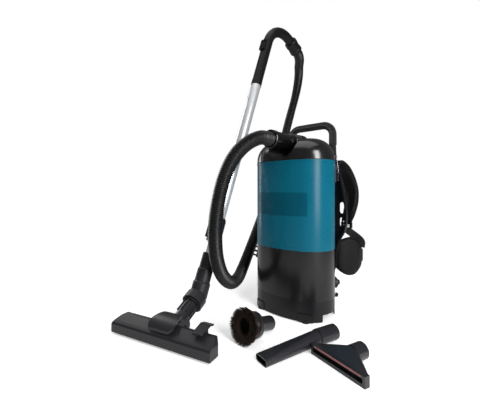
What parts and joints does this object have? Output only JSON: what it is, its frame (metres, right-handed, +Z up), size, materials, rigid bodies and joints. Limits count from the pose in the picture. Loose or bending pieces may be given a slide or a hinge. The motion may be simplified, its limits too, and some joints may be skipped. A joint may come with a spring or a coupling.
{
  "type": "backpack vacuum cleaner",
  "caption": "Oval teal canister on a padded harness, with a ribbed hose, telescopic chrome wand, swivelling floor head and three loose hand tools.",
  "frame": {"origin": "on the floor, at the middle in plan of the whole group without its hose", "axes": "+Z up; the canister's front and its hose port face -Y, the harness is at +Y, and the wand stands on the -X side"},
  "size_m": [0.6495, 0.9444, 1.0053],
  "materials": {
    "base_tray": "satin",
    "feet": "matte",
    "motor_housing": "gloss",
    "motor": "satin",
    "motor_filter": "matte",
    "drum_shell": "satin",
    "cap_gasket": "matte",
    "filter_basket": "satin",
    "filter_bag": "matte",
    "latch_bases": "satin",
    "cord_gland": "matte",
    "cord_hook": "matte",
    "switch_bezel": "satin",
    "backplate": "satin",
    "plate_spacers": "matte",
    "plate_screws": "satin",
    "back_pad": "matte",
    "shoulder_strap_l": "matte",
    "shoulder_strap_r": "matte",
    "strap_webbing": "woven",
    "strap_buckles": "satin",
    "strap_rings": "bright",
    "waist_wing_l": "matte",
    "waist_wing_r": "matte",
    "belt_webbing": "woven",
    "belt_tongue": "gloss",
    "belt_socket": "gloss",
    "carry_handle": "woven",
    "impeller": "satin",
    "switch_rocker": "satin",
    "cap_dome": "gloss",
    "inlet_neck": "satin",
    "inlet_bellows": "satin",
    "cap_catches": "satin",
    "hose": "satin",
    "handle_tube": "satin",
    "outer_tube": "polished",
    "lock_sleeve": "satin",
    "inlet_cuff": "gloss",
    "handle_cuff": "satin",
    "relief_slider": "satin",
    "lock_button": "satin",
    "latch_lever_l": "satin",
    "latch_lever_r": "satin",
    "latch_bail_l": "bright",
    "latch_bail_r": "bright",
    "inner_tube": "polished",
    "neck_elbow": "satin",
    "neck_yoke": "satin",
    "head_shell": "satin",
    "head_cover": "satin",
    "sole_plate": "satin",
    "head_pedal": "satin",
    "brush_strips": "matte",
    "head_wheels": "satin",
    "dust_brush_body": "satin",
    "dust_brush_bristles": "matte",
    "crevice_tool": "satin",
    "upholstery_nozzle": "satin",
    "lint_strip": "matte"
  },
  "bodies": {
    "canister": {"base_tray": "base_tray", "feet": "feet", "motor_housing": "motor_housing", "motor": "motor", "motor_filter": "motor_filter", "drum_shell": "drum_shell", "cap_gasket": "cap_gasket", "filter_basket": "filter_basket", "filter_bag": "filter_bag", "latch_bases": "latch_bases", "cord_gland": "cord_gland", "cord_hook": "cord_hook", "switch_bezel": "switch_bezel", "backplate": "backplate", "plate_spacers": "plate_spacers", "plate_screws": "plate_screws", "back_pad": "back_pad", "shoulder_strap_l": "shoulder_strap_l", "shoulder_strap_r": "shoulder_strap_r", "strap_webbing": "strap_webbing", "strap_buckles": "strap_buckles", "strap_rings": "strap_rings", "waist_wing_l": "waist_wing_l", "waist_wing_r": "waist_wing_r", "belt_webbing": "belt_webbing", "belt_tongue": "belt_tongue", "belt_socket": "belt_socket", "carry_handle": "carry_handle"},
    "impeller": {"impeller": "impeller"},
    "rocker": {"switch_rocker": "switch_rocker"},
    "cap": {"cap_dome": "cap_dome", "inlet_neck": "inlet_neck", "inlet_bellows": "inlet_bellows", "cap_catches": "cap_catches", "hose": "hose", "handle_tube": "handle_tube", "outer_tube": "outer_tube", "lock_sleeve": "lock_sleeve"},
    "inlet_cuff": {"inlet_cuff": "inlet_cuff"},
    "handle_cuff": {"handle_cuff": "handle_cuff"},
    "relief": {"relief_slider": "relief_slider"},
    "button": {"lock_button": "lock_button"},
    "lever_l": {"latch_lever_l": "latch_lever_l"},
    "lever_r": {"latch_lever_r": "latch_lever_r"},
    "bail_l": {"latch_bail_l": "latch_bail_l"},
    "bail_r": {"latch_bail_r": "latch_bail_r"},
    "inner": {"inner_tube": "inner_tube", "neck_elbow": "neck_elbow"},
    "yoke": {"neck_yoke": "neck_yoke"},
    "head": {"head_shell": "head_shell", "head_cover": "head_cover", "sole_plate": "sole_plate"},
    "pedal": {"head_pedal": "head_pedal"},
    "brushes": {"brush_strips": "brush_strips"},
    "wheels": {"head_wheels": "head_wheels"},
    "dusting_brush": {"dust_brush_body": "dust_brush_body", "dust_brush_bristles": "dust_brush_bristles"},
    "crevice": {"crevice_tool": "crevice_tool"},
    "nozzle": {"upholstery_nozzle": "upholstery_nozzle", "lint_strip": "lint_strip"}
  },
  "joints": [
    {"name": "cap_lift", "type": "slide", "parent": "canister", "child": "cap", "axis": [0, 0, 1], "range_m": [0, 0.06]},
    {"name": "inlet_swivel", "type": "hinge", "parent": "cap", "child": "inlet_cuff", "pos_m": [-0.0138, 0.0127, 0.52], "axis": [0, -1, 0], "continuous": true},
    {"name": "handle_swivel", "type": "hinge", "parent": "cap", "child": "handle_cuff", "pos_m": [-0.17138, 0.3303, 0.96877], "axis": [0, 0.9063, -0.4226], "continuous": true},
    {"name": "impeller_spin", "type": "hinge", "parent": "canister", "child": "impeller", "pos_m": [-0.0138, 0.0927, 0.17], "axis": [0, 0, 1], "continuous": true},
    {"name": "switch_rock", "type": "hinge", "parent": "canister", "child": "rocker", "pos_m": [-0.1413, 0.0927, 0.153], "axis": [0, 1, 0], "range_deg": [0, 14]},
    {"name": "latch_turn_r", "type": "hinge", "parent": "canister", "child": "lever_r", "pos_m": [0.10061, 0.14927, 0.446], "axis": [0.6428, -0.766, 0], "range_deg": [0, 100]},
    {"name": "latch_turn_l", "type": "hinge", "parent": "canister", "child": "lever_l", "pos_m": [-0.12821, 0.14927, 0.446], "axis": [0.6428, 0.766, 0], "range_deg": [0, 100]},
    {"name": "bail_swing_r", "type": "hinge", "parent": "lever_r", "child": "bail_r", "pos_m": [0.10107, 0.14965, 0.428], "axis": [-0.6428, 0.766, 0], "range_deg": [0, 165]},
    {"name": "bail_swing_l", "type": "hinge", "parent": "lever_l", "child": "bail_l", "pos_m": [-0.12867, 0.14965, 0.428], "axis": [-0.6428, -0.766, 0], "range_deg": [0, 165]},
    {"name": "relief_slide", "type": "slide", "parent": "cap", "child": "relief", "axis": [0, 0.3649, 0.9311], "range_m": [0, 0.008]},
    {"name": "lock_slide", "type": "slide", "parent": "cap", "child": "button", "axis": [0, 0.3649, 0.9311], "range_m": [0, 0.01], "stiffness_N_per_m": 300, "springref_m": -0.003},
    {"name": "tube_slide", "type": "slide", "parent": "cap", "child": "inner", "axis": [0, -0.3649, -0.9311], "range_m": [-0.03, 0.3]},
    {"name": "neck_swivel", "type": "hinge", "parent": "inner", "child": "yoke", "pos_m": [-0.16476, -0.19409, 0.06081], "axis": [-0.2193, 0.8794, 0.4226], "range_deg": [-45, 45]},
    {"name": "head_tilt", "type": "hinge", "parent": "yoke", "child": "head", "pos_m": [-0.14722, -0.26444, 0.027], "axis": [0.9703, 0.2419, 0], "range_deg": [-14, 18]},
    {"name": "brush_lift", "type": "slide", "parent": "head", "child": "brushes", "axis": [0, 0, 1], "range_m": [0, 0.005]},
    {"name": "pedal_rock", "type": "hinge", "parent": "head", "child": "pedal", "pos_m": [-0.03759, -0.26596, 0.0478], "axis": [-0.9703, -0.2419, 0], "range_deg": [0, 14.2]},
    {"name": "wheel_roll", "type": "hinge", "parent": "head", "child": "wheels", "pos_m": [-0.14577, -0.27026, 0.01], "axis": [0.9703, 0.2419, 0], "continuous": true},
    {"name": "brush_pick_up", "type": "slide", "parent": "canister", "child": "dusting_brush", "axis": [0, -0.5736, 0.8192], "range_m": [0, 0.4]},
    {"name": "crevice_pick_up", "type": "slide", "parent": "canister", "child": "crevice", "axis": [0, 0, 1], "range_m": [0, 0.05]},
    {"name": "nozzle_pick_up", "type": "slide", "parent": "canister", "child": "nozzle", "axis": [0, 0, 1], "range_m": [0, 0.05]}
  ],
  "couplings": [
    {"joint": "latch_turn_r", "follows": "cap_lift", "rad_per_m": 26},
    {"joint": "latch_turn_l", "follows": "cap_lift", "rad_per_m": 26},
    {"joint": "bail_swing_r", "follows": "cap_lift", "rad_per_m": 44},
    {"joint": "bail_swing_l", "follows": "cap_lift", "rad_per_m": 44},
    {"joint": "pedal_rock", "follows": "brush_lift", "rad_per_m": 48.8}
  ]
}
